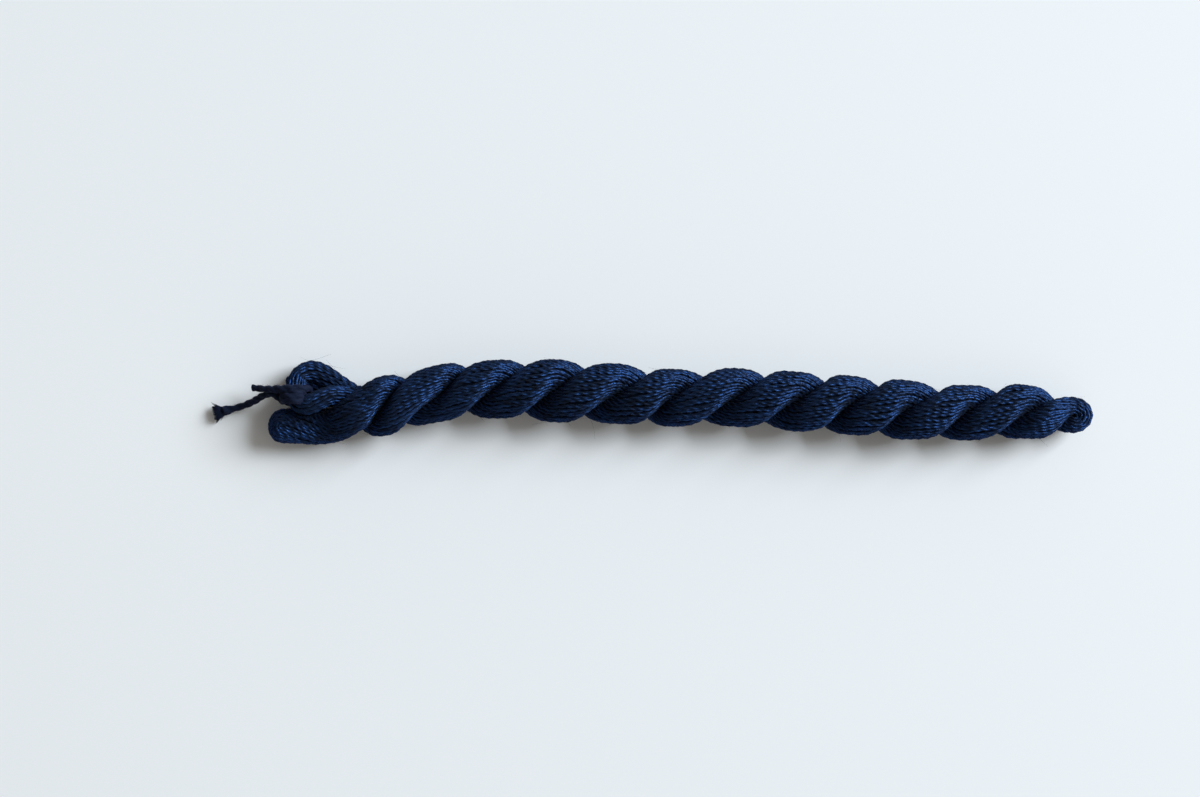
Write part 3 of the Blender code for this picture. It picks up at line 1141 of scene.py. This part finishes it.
@dataclass(frozen=True)
class Hank:
    """The hank's runs of floss, the runs of its opened loop, and its inside, whose dark finish is painted
    shade.
    """

    floss: bpy.types.Material
    # the finish of the inside, whose dark colours are painted shade
    inside: bpy.types.Material
    seed: int = 7
    parts: tuple = ("floss_runs_one", "floss_runs_two", "floss_runs_three", "floss_runs_four")
    strays: Strays = Strays(length=5.5, height=1.3, root=0.5)
    stray_count: int = 190
    loop_stray_count: int = 40
    strands: PliedStrands = PliedStrands()
    near_end: LoopedBundle = LoopedBundle(line=NEAR_END)
    loop: LoopedBundle = LoopedBundle(line=HEAD_LOOP)
    head_turn: LoopedBundle = LoopedBundle(line=HEAD_TURN, runs=12, twist=0.0, core_depth=1.3)

    def build(self) -> None:
        """Makes the pieces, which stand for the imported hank."""
        rng = np.random.default_rng(self.seed)
        runs = self.strands.hank_runs(FLOSS, rng)
        loop = self.loop.loop_runs(FLOSS, rng)
        head_turn = self.head_turn.folded_runs(FLOSS, -ONWARD, rng)
        shares = np.array_split(np.arange(len(runs.paths)), len(self.parts))
        pieces = {name: runs.picked(share) for name, share in zip(self.parts, shares, strict=True)}
        for name, part in {**pieces, "loop_runs": loop, "head_turn_runs": head_turn}.items():
            tube_piece(name, spun(part, FLOSS, rng), self.floss, "skein")
        for name, within in (
            ("inside_body", self.strands),
            ("inside_near_end", self.near_end),
            ("inside_loop", self.loop),
            ("inside_head_turn", self.head_turn),
        ):
            tube_piece(name, within.core_rings(), self.inside, "skein")
        strays = self.strays.fibres(runs, self.stray_count, rng)
        loop_strays = self.strays.fibres(loop, self.loop_stray_count, rng)
        for name, part in (("stray_fibres", strays), ("loop_stray_fibres", loop_strays)):
            tube_piece(name, spun(part, FIBRE, rng, FIBRE_TAPER), self.floss, "skein")


@dataclass(frozen=True)
class Tie:
    """The tie: one length of yarn round the head's loop, the turn that knots it, and its frayed end."""

    finish: bpy.types.Material
    seed: int = 11
    strays: Strays = Strays(length=1.8, height=0.7, root=0.85)
    fuzz_count: int = 260
    knot_fuzz_count: int = 160
    brush: Brush = Brush()
    opening: float = 0.3  # share by which the yarn opens towards its frayed end
    opened_length: float = 3.0
    outward: tuple = (0.0, 0.9, 0.44)  # tipped from upright, so that it is never along the yarn

    def runs(self, route: Route, turns: Route = Route([0.0], [0.0], [0.0])) -> Runs:
        """Runs along a route, each moved from it by one of the turns."""
        paths = smooth_rows(route, TIE_YARN.step) + np.array(turns).T[:, None]
        return Runs(paths, np.broadcast_to(self.outward, paths.shape))

    def piece(self, name: str, rings: np.ndarray, node: str = "tie") -> bpy.types.Object:
        """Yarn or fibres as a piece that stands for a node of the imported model."""
        return tube_piece(name, rings, self.finish, node)

    def build(self) -> None:
        rng = np.random.default_rng(self.seed)
        run, turns = self.runs(TIE_ROUTE), self.runs(KNOT_ROUTE, KNOT_TURNS)
        along = lengths_along(run.paths)[0]
        length = float(along[-1])
        opened = 1 + self.opening * (1 - eased((length - along) / self.opened_length))
        tie = self.piece("tie_yarn", spun(run, TIE_YARN, rng, opened))
        knot = self.piece("tie_turn", spun(turns, TIE_YARN, rng), "tie_knot")
        brush = self.brush.fibres(run, TIE_YARN.radius, rng)
        fray = self.piece("tie_fray", spun(brush, TUFT, rng, FIBRE_TAPER))
        fuzz = self.strays.fibres(run, self.fuzz_count, rng)
        knot_fuzz = self.strays.fibres(turns, self.knot_fuzz_count, rng)
        hair = self.piece("tie_fibres", spun(fuzz, FIBRE, rng, FIBRE_TAPER))
        knot_hair = self.piece("tie_turn_fibres", spun(knot_fuzz, FIBRE, rng, FIBRE_TAPER), "tie_knot")


# ---- the studio ----
@dataclass(frozen=True)
class Studio:
    """A pale floor, a large soft window on the far right, an even sky and a camera that looks down."""

    aim: tuple = (-24.6, 1.0, 9.0)
    elevation: float = 89.0
    distance: float = 560.0
    view_width: float = 372.0
    sensor: float = 36.0
    floor_half: float = 1500.0
    floor_colour: tuple = (0.86, 0.865, 0.875, 1.0)
    floor_rough: float = 0.9
    floor_gloss: float = 0.1
    sky_colour: tuple = (1.0, 0.97, 0.905, 1.0)
    sky_low: float = 0.66
    sky_overhead: float = 0.12
    sky_lean: float = 0.75  # how much brighter it is on the window's side, as a share
    window_towards: tuple = (0.76, 0.355, 0.545)
    window_distance: float = 5200.0
    window_size: float = 2700.0
    window_watts: float = 405.0
    window_colour: tuple = (0.84, 0.93, 1.0)

    def build(self) -> None:
        """Makes the floor, the window, the sky and the camera."""
        self.make_floor()
        self.make_window()
        self.make_sky()
        self.make_camera()

    def make_floor(self) -> None:
        """A pale floor that is not part of the object."""
        size = self.floor_half * MM
        corners = [(-size, -size, 0.0), (size, -size, 0.0), (size, size, 0.0), (-size, size, 0.0)]
        mesh = bpy.data.meshes.new("floor")
        mesh.from_pydata(corners, [], [(0, 1, 2, 3)])
        material = bpy.data.materials.new("pale paper")
        material.use_nodes = True
        dress = {"Base Color": self.floor_colour, "Roughness": self.floor_rough}
        dress["Specular IOR Level"] = self.floor_gloss
        Net(material.node_tree).fill(material.node_tree.nodes["Principled BSDF"], dress)
        mesh.materials.append(material)
        in_scene("floor", mesh)

    def make_window(self) -> None:
        """A square soft light that faces the skein."""
        light = bpy.data.lights.new("window", "AREA")
        light.shape = "SQUARE"
        light.size = self.window_size * MM
        light.energy = self.window_watts
        light.color = self.window_colour
        towards = Vector(self.window_towards).normalized()
        thing = in_scene("window", light)
        thing.location = towards * self.window_distance * MM
        thing.rotation_euler = towards.to_track_quat("Z", "Y").to_euler()

    def make_sky(self) -> None:
        """A warm sky that fills the shadows, brighter low down and on the window's side."""
        world = bpy.data.worlds.new("sky")
        world.use_nodes = True
        net = Net(world.node_tree)
        around = net.add("ShaderNodeTexCoord").outputs["Generated"]
        direction = net.add("ShaderNodeSeparateXYZ", Vector=around)
        ends = {"To Min": self.sky_low, "To Max": self.sky_overhead}
        height = net.add("ShaderNodeMapRange", Value=direction.outputs["Z"], **ends)
        lean = net.math("ADD", net.math("MULTIPLY", direction.outputs["X"], self.sky_lean), 1.0)
        strength = net.math("MULTIPLY", height.outputs["Result"], lean)
        net.fill(world.node_tree.nodes["Background"], {"Color": self.sky_colour, "Strength": strength})
        bpy.context.scene.world = world
        bpy.context.scene.view_settings.view_transform = "Standard"

    def make_camera(self) -> None:
        """A camera a little to the near side of straight above."""
        lens = bpy.data.cameras.new("camera")
        lens.sensor_width = self.sensor
        lens.lens = self.sensor * self.distance / self.view_width
        tilt = math.radians(self.elevation)
        back = Vector((0.0, -math.cos(tilt), math.sin(tilt)))
        thing = in_scene("camera", lens)
        thing.location = (Vector(self.aim) + back * self.distance) * MM
        thing.rotation_euler = (math.pi / 2 - tilt, 0.0, 0.0)
        bpy.context.scene.camera = thing


def main() -> None:
    """Builds the studio, the tie and the hank."""
    logging.basicConfig(level=logging.INFO, format="%(name)s: %(message)s")
    group = fibre_group()
    Studio().build()
    Tie(TIE_FINISH.material(group)).build()
    Hank(FLOSS_FINISH.material(group), CORE_PAINTED_SHADE.material(group)).build()


if __name__ == "__main__":
    main()
